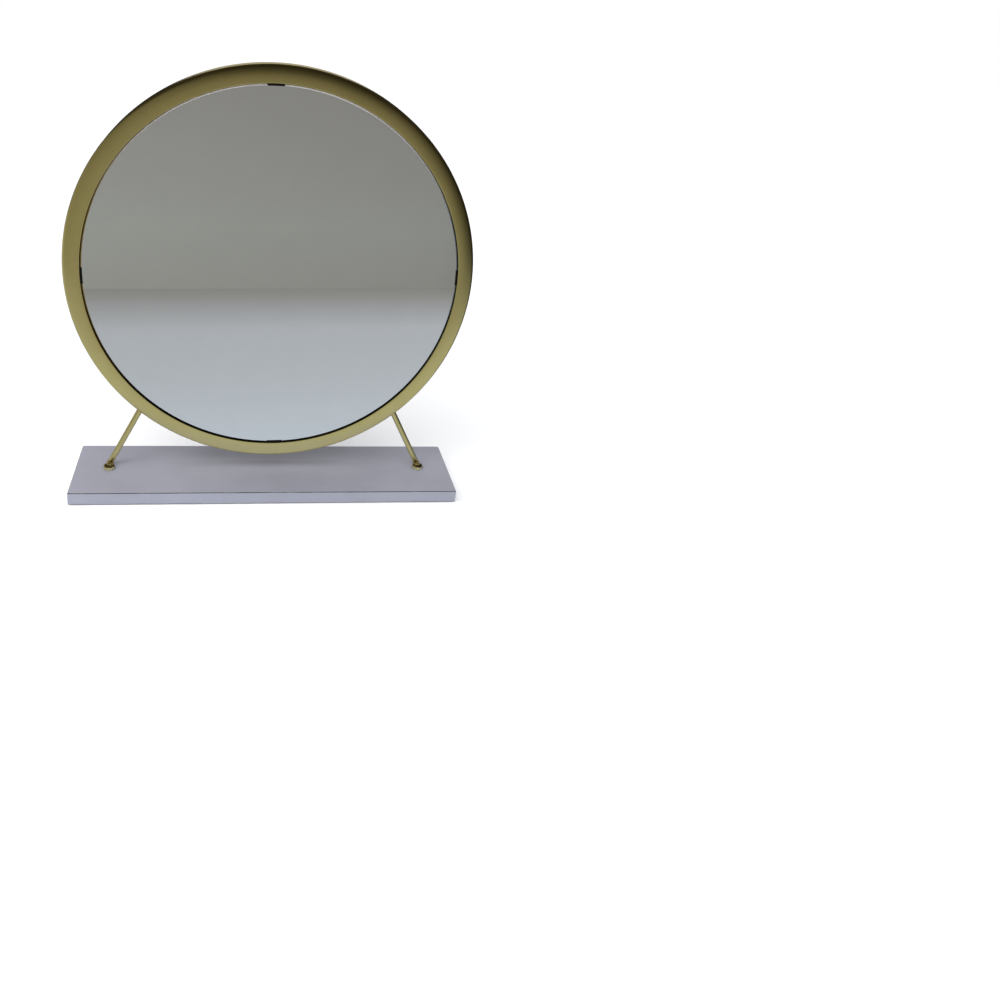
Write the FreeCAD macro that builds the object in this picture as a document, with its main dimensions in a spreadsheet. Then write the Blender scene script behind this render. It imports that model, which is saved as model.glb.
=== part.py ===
import FreeCAD, Part
import Sketcher
import os
from math import atan2, cos, degrees, radians, sin, sqrt, tan

# A round table-top mirror. A glass, taped to a back panel and centred by four clips, sits in a stamped
# ring frame; two slanting steel rods carry the ring and are screwed down on a low laminated board.
#
# Frame: X to the right, Y to the back, Z up. The origin is on the floor, under the middle of the board.
# The mirror faces -Y. All sizes are in millimetres.

SIZES = [
    # board
    ("board_length", 400.0),
    ("board_depth", 100.0),
    ("core_thickness", 11.3),
    ("top_sheet_thickness", 0.8),
    ("bottom_sheet_thickness", 0.5),
    ("band_thickness", 1.0),
    # feet under the board
    ("pad_thickness", 1.5),
    ("pad_radius", 8.0),
    ("pad_inset_x", 22.0),
    ("pad_inset_y", 18.0),
    # ring frame, a bent section of sheet steel
    ("ring_centre_height", 232.8),
    ("ring_outer_radius", 203.8),
    ("ring_lip_radius", 186.8),
    ("ring_front_y", -1.7),
    ("ring_shoulder_y", 5.3),
    ("ring_rear_y", 18.3),
    ("ring_wall", 1.2),
    ("ring_edge_round", 5.0),
    ("lip_round", 0.6),
    ("flange_inner_radius", 174.0),
    # glass and what lies behind it
    ("glass_radius", 186.2),
    ("glass_thickness", 4.0),
    ("glass_bevel", 1.2),
    ("glass_arris", 0.5),
    ("glass_setback", 1.6),
    ("silver_thickness", 0.2),
    ("tape_thickness", 1.0),
    ("tape_length", 60.0),
    ("tape_width", 14.0),
    ("tape_circle_radius", 130.0),
    ("tape_count", 6),
    ("panel_thickness", 3.0),
    ("panel_radius", 186.3),
    # the four clips that centre the glass
    ("clip_length", 16.0),
    ("clip_cover", 1.6),
    ("clip_face", 0.7),
    ("clip_hook", 0.2),
    ("clip_play", 0.1),
    ("clip_turn", 1.75),
    # screws that hold the panel on the flange
    ("panel_screw_count", 8),
    ("panel_screw_circle", 180.0),
    ("panel_screw_shank", 1.4),
    ("panel_screw_head", 2.9),
    ("panel_screw_reach", 3.4),
    ("panel_screw_rim", 0.6),
    ("panel_screw_height", 1.8),
    ("panel_screw_dome", 3.0),
    ("panel_screw_recess", 0.7),
    ("panel_screw_recess_floor", 0.8),
    ("panel_hole_radius", 1.45),
    ("flange_hole_radius", 1.8),
    # leg rods
    ("rod_radius", 3.0),
    ("rod_axis_y", 9.3),
    ("rod_lean", 27.0),
    ("rod_foot_x", 167.0),
    ("rod_depth_in_ring", 9.0),
    ("rod_hole_radius", 3.1),
    ("foot_x", 166.0),
    ("foot_y", 0.3),
    ("foot_eye_radius", 5.4),
    ("foot_eye_thickness", 2.2),
    ("foot_flat_width", 6.8),
    ("foot_flat_length", 3.6),
    ("foot_taper_length", 6.0),
    # blocks inside the ring that take the rod ends
    ("block_width", 18.0),
    ("block_height", 11.0),
    ("block_front_y", 5.5),
    ("block_depth", 11.5),
    ("grub_radius", 2.0),
    ("grub_length", 3.4),
    ("grub_socket", 2.0),
    ("grub_socket_depth", 1.6),
    ("grub_place", 0.62),
    # foot screws and the inserts they bite in
    ("foot_screw_radius", 2.5),
    ("foot_screw_length", 9.0),
    ("foot_screw_head_radius", 5.8),
    ("foot_screw_head_height", 3.2),
    ("foot_screw_head_rim", 0.8),
    ("foot_screw_head_dome", 4.6),
    ("foot_screw_crown", 2.6),
    ("foot_screw_point", 0.5),
    ("foot_screw_socket", 3.0),
    ("foot_screw_socket_depth", 2.2),
    ("insert_outer_radius", 3.6),
    ("insert_length", 8.0),
    ("insert_room_below", 1.5),
    ("hole_play", 0.1),
]

doc = FreeCAD.newDocument("vanity_mirror")
sheet = doc.addObject("Spreadsheet::Sheet", "Sheet")


def fill_sheet():
    """Write every driving size in the sheet, one row each, with its name as the alias."""
    for row, (name, value) in enumerate(SIZES, start=1):
        sheet.set("A%d" % row, name)
        sheet.set("B%d" % row, str(value))
        sheet.setAlias("B%d" % row, name)
    doc.recompute()


def size(name):
    """A driving size as a plain number."""
    return float(sheet.get(name))


def expression(text):
    """Turn size names in a formula into references to the sheet."""
    names = sorted((name for name, _ in SIZES), key=len, reverse=True)
    for index, name in enumerate(names):
        text = text.replace(name, "<%d>" % index)
    for index, name in enumerate(names):
        text = text.replace("<%d>" % index, "Sheet." + name)
    return text


def value_of(text):
    """The present value of a formula made of size names."""
    result = sheet.evalExpression(expression(text))
    return float(getattr(result, "Value", result))


def bind(item, **formulas):
    """Bind properties to formulas; a double underscore stands for a dot in the property path."""
    for path, text in formulas.items():
        item.setExpression(path.replace("__", "."), expression(text))


def place(item, x="0", y="0", z="0", axis=(0, 0, 1), angle=0.0):
    """Turn an object about an axis and bind its position to formulas."""
    item.Placement = FreeCAD.Placement(FreeCAD.Vector(), FreeCAD.Rotation(FreeCAD.Vector(*axis), angle))
    for letter, text in zip("xyz", (x, y, z)):
        item.setExpression("Placement.Base." + letter, expression(text + " + 0"))
    return item


# ---------------------------------------------------------------- sketches


def add_sketch(body, role):
    """A sketch on one of the body's own origin planes."""
    sketch = body.newObject("Sketcher::SketchObject", body.Name + "_sketch")
    plane = next(item for item in body.Origin.OriginFeatures if item.Role == role)
    sketch.AttachmentSupport = [(plane, "")]
    sketch.MapMode = "FlatFace"
    return sketch


def pin_point(sketch, geometry, position, x, y):
    """Hold a point of the sketch at a pair of formulas, measured from the origin."""
    for kind, text in (("DistanceX", x), ("DistanceY", y)):
        number = value_of(text)
        index = sketch.addConstraint(Sketcher.Constraint(kind, -1, 1, geometry, position, number))
        sketch.setExpression("Constraints[%d]" % index, expression(text + " + 0"))


def add_circle(sketch, x, y, radius):
    """A circle whose centre and radius follow formulas."""
    centre = FreeCAD.Vector(value_of(x), value_of(y), 0)
    geometry = sketch.addGeometry(Part.Circle(centre, FreeCAD.Vector(0, 0, 1), value_of(radius)))
    pin_point(sketch, geometry, 3, x, y)
    index = sketch.addConstraint(Sketcher.Constraint("Radius", geometry, value_of(radius)))
    sketch.setExpression("Constraints[%d]" % index, expression(radius))


def arc_between(start, end, radius, side):
    """The short arc from start to end that bulges to the left (side 1) or the right (side -1)."""
    chord = end - start
    middle = (start + end) * 0.5
    normal = FreeCAD.Vector(-chord.y, chord.x, 0).normalize()
    rise = radius - sqrt(max(radius ** 2 - (chord.Length / 2) ** 2, 0.0))
    return Part.Arc(start, middle + normal * rise * side, end)


def add_outline(sketch, points, arcs=None):
    """A closed outline through points given as pairs of formulas.

    arcs maps the number of a segment to (radius formula, side); every other segment is straight.
    """
    arcs = arcs or {}
    spots = [FreeCAD.Vector(value_of(x), value_of(y), 0) for x, y in points]
    segments = []
    for number, start in enumerate(spots):
        end = spots[(number + 1) % len(spots)]
        if number in arcs:
            radius, side = arcs[number]
            arc = arc_between(start, end, value_of(radius), side)
            geometry = sketch.addGeometry(arc)
            swapped = sketch.getPoint(geometry, 1).distanceToPoint(start) > 1e-6
            index = sketch.addConstraint(Sketcher.Constraint("Radius", geometry, value_of(radius)))
            sketch.setExpression("Constraints[%d]" % index, expression(radius))
        else:
            geometry = sketch.addGeometry(Part.LineSegment(start, end))
            swapped = False
        segments.append((geometry, 2 if swapped else 1, 1 if swapped else 2))
    for number, (geometry, first, last) in enumerate(segments):
        following, following_first, _ = segments[(number + 1) % len(segments)]
        sketch.addConstraint(Sketcher.Constraint("Coincident", geometry, last, following, following_first))
        pin_point(sketch, geometry, first, *points[number])


def rectangle(width, depth):
    """The corners of a rectangle centred on the origin."""
    half_x = "(%s) / 2" % width
    half_y = "(%s) / 2" % depth
    return [
        ("-" + half_x, "-" + half_y),
        (half_x, "-" + half_y),
        (half_x, half_y),
        ("-" + half_x, half_y),
    ]


# ---------------------------------------------------------------- features


def new_body(name):
    body = doc.addObject("PartDesign::Body", name)
    body.Label = name
    body.AllowCompound = True
    return body


def pad(body, sketch, length, backwards=False):
    """Raise a sketch by a length."""
    feature = body.newObject("PartDesign::Pad", body.Name + "_pad")
    feature.Profile = sketch
    bind(feature, Length=length)
    feature.Reversed = backwards
    sketch.Visibility = False
    return feature


def pocket(body, sketch, length=None, backwards=False):
    """Cut a sketch into the body, right through when no length is given."""
    feature = body.newObject("PartDesign::Pocket", body.Name + "_pocket")
    feature.Profile = sketch
    if length is None:
        feature.Type = "ThroughAll"
        feature.Midplane = True
    else:
        bind(feature, Length=length)
        feature.Reversed = backwards
    return feature


def revolve(body, sketch, axis, angle=None):
    """Turn a sketch about its own H_Axis or V_Axis, by a full turn or evenly to both sides."""
    feature = body.newObject("PartDesign::Revolution", body.Name + "_revolution")
    feature.Profile = sketch
    feature.ReferenceAxis = (sketch, [axis])
    if angle is None:
        feature.Angle = 360.0
    else:
        bind(feature, Angle=angle)
        feature.Midplane = True
    return feature


def ring_pattern(body, feature, count):
    """Repeat a feature evenly about the body's own Y axis."""
    pattern = body.newObject("PartDesign::PolarPattern", body.Name + "_pattern")
    pattern.Originals = [feature]
    axis = next(item for item in body.Origin.OriginFeatures if item.Role == "Y_Axis")
    pattern.Axis = (axis, [""])
    pattern.Angle = 360.0
    bind(pattern, Occurrences=count)
    body.Tip = pattern
    return pattern


def mirrored(item, name):
    """The same object on the other side of the middle plane."""
    other = doc.addObject("Part::Mirroring", name)
    other.Label = name
    other.Source = item
    other.Normal = FreeCAD.Vector(1, 0, 0)
    return other


def pair(item, name):
    """One object on the right and its mirror image on the left, kept together."""
    group = doc.addObject("Part::Compound", name)
    group.Label = name
    group.Links = [item, mirrored(item, name + "_left")]
    return group


# ---------------------------------------------------------------- board

BOARD_UNDERSIDE = "pad_thickness"
CORE_TOP = "(pad_thickness + bottom_sheet_thickness + core_thickness)"
BOARD_TOP = "(pad_thickness + bottom_sheet_thickness + core_thickness + top_sheet_thickness)"
CORE_LENGTH = "(board_length - 2 * band_thickness)"
CORE_DEPTH = "(board_depth - 2 * band_thickness)"
FOOT_XS = ("foot_x", "-foot_x")
HAIR = 0.02             # left between pieces that only touch
WELD_GAP = 0.05         # between a block's edges and the ring they are welded to
BORE_LEAD = 5.0         # how far outside the ring a cutter for the rod's hole begins
BORE_SPARE = 0.1        # how much deeper than the rod's end the hole goes


def build_core():
    """Fibreboard core, with a blind hole on each side for a threaded insert."""
    body = new_body("base_core")
    outline = add_sketch(body, "XY_Plane")
    add_outline(outline, rectangle(CORE_LENGTH, CORE_DEPTH))
    # the outline lies on the core's top face, so that the holes are measured from there
    pad(body, outline, "core_thickness", backwards=True)
    holes = add_sketch(body, "XY_Plane")
    for x in FOOT_XS:
        add_circle(holes, x, "foot_y", "insert_outer_radius + hole_play / 2")
    pocket(body, holes, "insert_length + insert_room_below")
    return place(body, z=CORE_TOP)


def build_top_laminate():
    """Sheet glued over the core and its edging, drilled for the foot screws."""
    body = new_body("base_top_laminate")
    outline = add_sketch(body, "XY_Plane")
    add_outline(outline, rectangle("board_length", "board_depth"))
    for x in FOOT_XS:
        add_circle(outline, x, "foot_y", "foot_screw_radius + hole_play")
    pad(body, outline, "top_sheet_thickness")
    return place(body, z=CORE_TOP)


def build_bottom_laminate():
    """Balancing sheet glued under the core."""
    body = new_body("base_bottom_laminate")
    outline = add_sketch(body, "XY_Plane")
    add_outline(outline, rectangle(CORE_LENGTH, CORE_DEPTH))
    pad(body, outline, "bottom_sheet_thickness")
    return place(body, z=BOARD_UNDERSIDE)


def build_edge_band(name, length, width, x, y):
    """A strip of edging, from the board's underside up to the top sheet."""
    band = doc.addObject("Part::Box", name)
    band.Label = name
    bind(band, Length=length, Width=width, Height="core_thickness + bottom_sheet_thickness")
    return place(band, x, y, BOARD_UNDERSIDE)


def build_edge_bands():
    """Long strips cover the front and the rear; short ones fit between them at the ends."""
    half_x = "board_length / 2"
    half_y = "board_depth / 2"
    return [
        build_edge_band("front_edge_band", "board_length", "band_thickness", "-" + half_x, "-" + half_y),
        build_edge_band(
            "rear_edge_band", "board_length", "band_thickness", "-" + half_x, half_y + " - band_thickness"
        ),
        build_edge_band(
            "left_edge_band", "band_thickness", CORE_DEPTH, "-" + half_x, "-" + half_y + " + band_thickness"
        ),
        build_edge_band(
            "right_edge_band",
            "band_thickness",
            CORE_DEPTH,
            half_x + " - band_thickness",
            "-" + half_y + " + band_thickness",
        ),
    ]


def build_pads():
    """Four soft pads stuck under the board's corners."""
    body = new_body("base_pads")
    circles = add_sketch(body, "XY_Plane")
    for sign_x in ("", "-"):
        for sign_y in ("", "-"):
            add_circle(
                circles,
                sign_x + "(board_length / 2 - pad_inset_x)",
                sign_y + "(board_depth / 2 - pad_inset_y)",
                "pad_radius",
            )
    pad(body, circles, "pad_thickness")
    return body


def build_inserts():
    """Brass threaded inserts sunk in the core under each foot, flush with its top."""
    body = new_body("insert_right")
    rings = add_sketch(body, "XY_Plane")
    add_circle(rings, "0", "0", "insert_outer_radius")
    add_circle(rings, "0", "0", "foot_screw_radius + hole_play / 2")
    pad(body, rings, "insert_length", backwards=True)
    place(body, "foot_x", "foot_y", CORE_TOP)
    return pair(body, "threaded_inserts")


# ---------------------------------------------------------------- ring and glass

GLASS_FRONT = "(ring_front_y + glass_setback)"
GLASS_BACK = "(ring_front_y + glass_setback + glass_thickness)"
TAPE_FRONT = "(ring_front_y + glass_setback + glass_thickness + silver_thickness)"
PANEL_FRONT = "(ring_front_y + glass_setback + glass_thickness + silver_thickness + tape_thickness)"
FLANGE_FRONT = (
    "(ring_front_y + glass_setback + glass_thickness + silver_thickness + tape_thickness + panel_thickness)"
)


def face_round():
    """Radius of the ring's broad front curve.

    The curve leaves the lip square to the front and runs smoothly into the tight edge round, which in
    turn runs smoothly into the straight outer wall.
    """
    rise = size("ring_shoulder_y") - size("ring_front_y")
    run = size("ring_outer_radius") - size("ring_lip_radius") - size("lip_round")
    edge = size("ring_edge_round")
    return (rise ** 2 + (run - edge) ** 2 - edge ** 2) / (2 * (rise - edge))


def blend_point(offset):
    """Where the broad curve meets the edge round, as (y, radius), offset into the sheet."""
    broad = face_round()
    edge = size("ring_edge_round")
    broad_y = size("ring_front_y") + broad
    broad_r = size("ring_lip_radius") + size("lip_round")
    edge_y = size("ring_shoulder_y")
    edge_r = size("ring_outer_radius") - edge
    reach = (broad - offset) / (broad - edge)
    return broad_y + (edge_y - broad_y) * reach, broad_r + (edge_r - broad_r) * reach


def build_ring_section():
    """The ring: rounded front face, outer wall, inner return wall and the flange behind the glass."""
    body = new_body("ring_section")
    # sketch axes: along Y, and outwards from the mirror's centre
    section = add_sketch(body, "YZ_Plane")
    outer_y, outer_r = blend_point(0.0)
    inner_y, inner_r = blend_point(size("ring_wall"))
    broad = face_round()
    flange_back = FLANGE_FRONT + " + ring_wall"
    points = [
        (flange_back, "flange_inner_radius"),
        (FLANGE_FRONT, "flange_inner_radius"),
        (FLANGE_FRONT, "ring_lip_radius"),
        ("ring_front_y + lip_round", "ring_lip_radius"),
        ("ring_front_y", "ring_lip_radius + lip_round"),
        (repr(outer_y), repr(outer_r)),
        ("ring_shoulder_y", "ring_outer_radius"),
        ("ring_rear_y", "ring_outer_radius"),
        ("ring_rear_y", "ring_outer_radius - ring_wall"),
        ("ring_shoulder_y", "ring_outer_radius - ring_wall"),
        (repr(inner_y), repr(inner_r)),
        ("ring_front_y + ring_wall", "ring_lip_radius + ring_wall"),
        (flange_back, "ring_lip_radius + ring_wall"),
    ]
    arcs = {
        3: ("lip_round", 1),
        4: (repr(broad), 1),
        5: ("ring_edge_round", 1),
        9: ("ring_edge_round - ring_wall", -1),
        10: (repr(broad - size("ring_wall")), -1),
    }
    add_outline(section, points, arcs)
    revolve(body, section, "H_Axis")
    holes = add_sketch(body, "XZ_Plane")
    add_circle(holes, "panel_screw_circle", "0", "flange_hole_radius")
    cut = pocket(body, holes)
    ring_pattern(body, cut, "panel_screw_count")
    return place(body, z="ring_centre_height")


def rod_start():
    """Point on the rod's axis at the height of the board's top, and the rod's upward direction."""
    lean = radians(size("rod_lean"))
    start = FreeCAD.Vector(size("rod_foot_x"), size("rod_axis_y"), value_of(BOARD_TOP))
    return start, FreeCAD.Vector(-sin(lean), 0, cos(lean))


def rod_reach(radius):
    """Distance along the rod's axis from the board's top to a circle about the mirror's centre."""
    start, direction = rod_start()
    centre = FreeCAD.Vector(0, start.y, size("ring_centre_height"))
    offset = start - centre
    middle = -offset.dot(direction)
    return middle - sqrt(middle ** 2 - offset.dot(offset) + radius ** 2)


def ring_meeting_angle():
    """Angle about the mirror's centre, from straight down, at which the rod enters the ring."""
    start, direction = rod_start()
    meeting = start + direction * rod_reach(size("ring_outer_radius"))
    return degrees(atan2(meeting.x, size("ring_centre_height") - meeting.z))


def rod_bore(name):
    """A cylinder along the right rod's axis, a little wider than the rod, used to cut its holes."""
    bore = doc.addObject("Part::Cylinder", name)
    start, direction = rod_start()
    origin = start + direction * (rod_reach(size("ring_outer_radius")) - BORE_LEAD)
    bind(bore, Radius="rod_hole_radius", Height="rod_depth_in_ring + %r" % (BORE_LEAD + BORE_SPARE))
    bore.Placement = FreeCAD.Placement(origin, FreeCAD.Rotation(FreeCAD.Vector(0, 0, 1), direction))
    return bore


def build_ring():
    """The ring with a hole in its outer wall for each rod."""
    section = build_ring_section()
    bore = rod_bore("ring_bore_right")
    bores = doc.addObject("Part::MultiFuse", "ring_bores")
    bores.Shapes = [bore, mirrored(bore, "ring_bore_left")]
    ring = doc.addObject("Part::Cut", "mirror_frame")
    ring.Label = "mirror_frame"
    ring.Base = section
    ring.Tool = bores
    return ring


def build_glass():
    """Round float glass with a narrow bevel in front and a ground arris behind."""
    body = new_body("mirror_glass")
    section = add_sketch(body, "YZ_Plane")
    points = [
        (GLASS_FRONT, "0"),
        (GLASS_FRONT, "glass_radius - glass_bevel"),
        (GLASS_FRONT + " + glass_bevel", "glass_radius"),
        (GLASS_BACK + " - glass_arris", "glass_radius"),
        (GLASS_BACK, "glass_radius - glass_arris"),
        (GLASS_BACK, "0"),
    ]
    add_outline(section, points)
    revolve(body, section, "H_Axis")
    return place(body, z="ring_centre_height")


def build_silvering():
    """The reflecting coat with its protective paint on the back of the glass."""
    disc = doc.addObject("Part::Cylinder", "mirror_silvering")
    disc.Label = "mirror_silvering"
    bind(disc, Radius="glass_radius - 2 * glass_arris", Height="silver_thickness")
    return place(disc, "0", GLASS_BACK, "ring_centre_height", axis=(1, 0, 0), angle=-90.0)


def build_tape():
    """Strips of foam tape that hold the glass on the panel."""
    body = new_body("glass_tape_strips")
    strip = add_sketch(body, "XZ_Plane")
    low = "tape_circle_radius - tape_width / 2"
    high = "tape_circle_radius + tape_width / 2"
    half = "tape_length / 2"
    add_outline(strip, [("-" + half, low), (half, low), (half, high), ("-" + half, high)])
    # the XZ plane looks along -Y, so a pad raised backwards grows along +Y
    raised = pad(body, strip, "tape_thickness", backwards=True)
    pattern = ring_pattern(body, raised, "tape_count")
    pattern.Label = "glass_tape_round"
    return place(body, "0", TAPE_FRONT, "ring_centre_height")


def build_panel():
    """Fibreboard disc behind the glass, drilled for its screws."""
    body = new_body("back_panel")
    disc = add_sketch(body, "XZ_Plane")
    add_circle(disc, "0", "0", "panel_radius")
    pad(body, disc, "panel_thickness", backwards=True)
    holes = add_sketch(body, "XZ_Plane")
    add_circle(holes, "panel_screw_circle", "0", "panel_hole_radius")
    cut = pocket(body, holes)
    ring_pattern(body, cut, "panel_screw_count")
    return place(body, "0", PANEL_FRONT, "ring_centre_height")


def build_panel_screws():
    """Small pan-head screws through the flange into the panel."""
    body = new_body("panel_screws")
    section = add_sketch(body, "XY_Plane")
    seat = "ring_wall"
    recess = "panel_screw_circle + panel_screw_recess"
    floor = "ring_wall + panel_screw_recess_floor"
    points = [
        ("panel_screw_circle", "ring_wall - panel_screw_reach"),
        ("panel_screw_circle + panel_screw_shank", "ring_wall - panel_screw_reach"),
        ("panel_screw_circle + panel_screw_shank", seat),
        ("panel_screw_circle + panel_screw_head", seat),
        ("panel_screw_circle + panel_screw_head", seat + " + panel_screw_rim"),
        (recess, seat + " + panel_screw_height"),
        (recess, floor),
        ("panel_screw_circle", floor),
    ]
    add_outline(section, points, {4: ("panel_screw_dome", -1)})
    turned = body.newObject("PartDesign::Revolution", "panel_screw_turned")
    turned.Profile = section
    # the section's last side runs along the screw's own axis
    turned.ReferenceAxis = (section, ["Edge8"])
    turned.Angle = 360.0
    ring_pattern(body, turned, "panel_screw_count")
    return place(body, "0", FLANGE_FRONT, "ring_centre_height")


def build_clip(name, angle):
    """A moulded clip between the glass edge and the ring, with a lip over the face of the glass."""
    body = new_body(name)
    section = add_sketch(body, "YZ_Plane")
    inner = "glass_radius + clip_play / 2"
    outer = "ring_lip_radius - clip_play / 2"
    back = GLASS_BACK + " - clip_hook"
    face = GLASS_FRONT + " - %r" % HAIR
    points = [
        (back, inner),
        (back, outer),
        (face + " - clip_face", outer),
        (face + " - clip_face", "glass_radius - clip_cover"),
        (face, "glass_radius - clip_cover"),
        (face, inner),
    ]
    add_outline(section, points)
    revolve(body, section, "H_Axis", "clip_length / ring_lip_radius * %r" % degrees(1))
    return place(body, z="ring_centre_height", axis=(0, 1, 0), angle=angle)


def build_clips():
    """Four clips a quarter turn apart, all a little round from the upright."""
    names = ("top_clip", "right_clip", "bottom_clip", "left_clip")
    return [build_clip(name, 90.0 * step - size("clip_turn")) for step, name in enumerate(names)]


# ---------------------------------------------------------------- legs


def build_rod():
    """The right rod: round steel, flattened at its foot and bent forward into a drilled eye.

    The flattening, a round section running into a flat one, and the bend that follows it are lofted and
    fused here, since no single body feature makes them.
    """
    radius = size("rod_radius")
    start, direction = rod_start()
    turn = FreeCAD.Rotation(FreeCAD.Vector(0, 0, 1), direction)
    thick = size("foot_eye_thickness")
    width = size("foot_flat_width")
    flat_end = size("foot_flat_length")
    round_start = flat_end + size("foot_taper_length")
    total = rod_reach(size("ring_outer_radius")) + size("rod_depth_in_ring")

    shaft = Part.makeCylinder(radius, total - round_start, FreeCAD.Vector(0, 0, round_start))
    round_end = Part.Wire(Part.makeCircle(radius, FreeCAD.Vector(0, 0, round_start)))
    half = (width - thick) / 2
    edge = thick / 2
    spots = ((half, -edge), (half, edge), (-half, edge), (-half, -edge))
    corners = [FreeCAD.Vector(x, y, flat_end) for x, y in spots]
    flat_outline = Part.Wire([
        Part.Arc(corners[0], FreeCAD.Vector(half + edge, 0, flat_end), corners[1]).toShape(),
        Part.makeLine(corners[1], corners[2]),
        Part.Arc(corners[2], FreeCAD.Vector(-half - edge, 0, flat_end), corners[3]).toShape(),
        Part.makeLine(corners[3], corners[0]),
    ])
    taper = Part.makeLoft([flat_outline, round_end], True, False)
    plate = Part.Face(flat_outline).extrude(FreeCAD.Vector(0, 0, -flat_end - radius))
    upper = shaft.fuse([taper, plate])
    upper.Placement = FreeCAD.Placement(start, turn)

    # everything below the bend line is trimmed off, and the bend and the eye take its place
    bend_height = start.z + thick
    side = 60.0
    corner = FreeCAD.Vector(start.x - side / 2, start.y - side / 2, bend_height - side)
    trim = Part.makeBox(side, side, side, corner)
    upper = upper.cut(trim)
    lean = radians(size("rod_lean"))
    bend_length = width / cos(lean)
    bend_x = start.x - thick * tan(lean)
    bend = Part.makeCylinder(
        thick,
        bend_length,
        FreeCAD.Vector(bend_x - bend_length / 2, start.y - thick / 2, bend_height),
        FreeCAD.Vector(1, 0, 0),
    )
    bend_keep = Part.makeBox(
        bend_length,
        thick,
        thick,
        FreeCAD.Vector(bend_x - bend_length / 2, start.y - thick / 2, start.z),
    )
    bend = bend.common(bend_keep)
    eye_radius = size("foot_eye_radius")
    eye_centre = FreeCAD.Vector(size("foot_x"), size("foot_y"), start.z)
    eye = Part.makeCylinder(eye_radius, thick, eye_centre)
    neck_corners = [
        FreeCAD.Vector(eye_centre.x - eye_radius, eye_centre.y, start.z),
        FreeCAD.Vector(eye_centre.x + eye_radius, eye_centre.y, start.z),
        FreeCAD.Vector(bend_x + bend_length / 2, start.y - thick / 2, start.z),
        FreeCAD.Vector(bend_x - bend_length / 2, start.y - thick / 2, start.z),
    ]
    neck = Part.Face(Part.makePolygon(neck_corners + neck_corners[:1])).extrude(FreeCAD.Vector(0, 0, thick))
    hole = Part.makeCylinder(size("foot_screw_radius") + size("hole_play"), 3 * thick, eye_centre)
    shape = upper.fuse([bend, eye, neck]).cut(hole).removeSplitter()

    rod = doc.addObject("Part::Feature", "right_leg_rod")
    rod.Label = "right_leg_rod"
    rod.Shape = shape
    return rod


def build_block():
    """The right steel block, welded inside the ring, with a bore for the rod and one for its grub screw."""
    angle = ring_meeting_angle()
    block = doc.addObject("Part::Box", "block_stock")
    bind(block, Length="block_width", Width="block_depth", Height="block_height")
    # the block's lower face sits on the inside of the ring's outer wall
    half_width = size("block_width") / 2
    inside = sqrt((size("ring_outer_radius") - size("ring_wall")) ** 2 - half_width ** 2) - WELD_GAP
    turn = FreeCAD.Rotation(FreeCAD.Vector(0, 1, 0), -angle)
    corner = turn.multVec(FreeCAD.Vector(-half_width, size("block_front_y"), -inside))
    corner.z += size("ring_centre_height")
    block.Placement = FreeCAD.Placement(corner, turn)
    grub_hole = doc.addObject("Part::Cylinder", "block_grub_hole")
    bind(grub_hole, Radius="grub_radius + hole_play / 2", Height="block_depth")
    start, direction = rod_start()
    grip_reach = rod_reach(size("ring_outer_radius")) + size("grub_place") * size("rod_depth_in_ring")
    grip = start + direction * grip_reach
    turn_back = FreeCAD.Rotation(FreeCAD.Vector(1, 0, 0), -90.0)
    grub_hole.Placement = FreeCAD.Placement(grip, turn_back)
    cutters = doc.addObject("Part::MultiFuse", "block_cutters")
    cutters.Shapes = [rod_bore("block_bore"), grub_hole]
    drilled = doc.addObject("Part::Cut", "right_leg_block")
    drilled.Label = "right_leg_block"
    drilled.Base = block
    drilled.Tool = cutters
    return drilled, grip


def build_grub_screws(grip):
    """Socket grub screws that press on the rods from behind."""
    body = new_body("grub_screw_right")
    outline = add_sketch(body, "XZ_Plane")
    add_circle(outline, "0", "0", "grub_radius")
    pad(body, outline, "grub_length", backwards=True)
    socket = add_sketch(body, "XZ_Plane")
    add_hexagon(socket, "grub_socket / 2")
    socket.AttachmentOffset = FreeCAD.Placement(
        FreeCAD.Vector(0, 0, -size("grub_length")), FreeCAD.Rotation()
    )
    pocket(body, socket, "grub_socket_depth", backwards=True)
    body.Placement = FreeCAD.Placement(
        FreeCAD.Vector(grip.x, grip.y + size("rod_radius") + HAIR, grip.z), FreeCAD.Rotation()
    )
    return pair(body, "leg_grub_screws")


def add_hexagon(sketch, half_width):
    """A hexagon centred on the origin, by half its width across the flats."""
    corners = []
    for step in range(6):
        along = "(%s) * %r" % (half_width, cos(radians(60 * step)) / cos(radians(30)))
        across = "(%s) * %r" % (half_width, sin(radians(60 * step)) / cos(radians(30)))
        corners.append((along, across))
    add_outline(sketch, corners)


def build_foot_screws():
    """Polished domed socket screws that hold the eyes of the rods on the board."""
    body = new_body("foot_screw_right")
    section = add_sketch(body, "XZ_Plane")
    head = "foot_screw_head_radius"
    points = [
        ("0", "-foot_screw_length"),
        ("foot_screw_radius - foot_screw_point", "-foot_screw_length"),
        ("foot_screw_radius", "foot_screw_point - foot_screw_length"),
        ("foot_screw_radius", "0"),
        (head, "0"),
        (head, "foot_screw_head_rim"),
        ("foot_screw_crown", "foot_screw_head_height"),
        ("0", "foot_screw_head_height"),
    ]
    add_outline(section, points, {5: ("foot_screw_head_dome", -1)})
    revolve(body, section, "V_Axis")
    socket = add_sketch(body, "XY_Plane")
    add_hexagon(socket, "foot_screw_socket / 2")
    socket.AttachmentOffset = FreeCAD.Placement(
        FreeCAD.Vector(0, 0, size("foot_screw_head_height")), FreeCAD.Rotation()
    )
    pocket(body, socket, "foot_screw_socket_depth")
    place(body, "foot_x", "foot_y", BOARD_TOP + " + foot_eye_thickness")
    return pair(body, "foot_screws")


# ---------------------------------------------------------------- assembly


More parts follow.
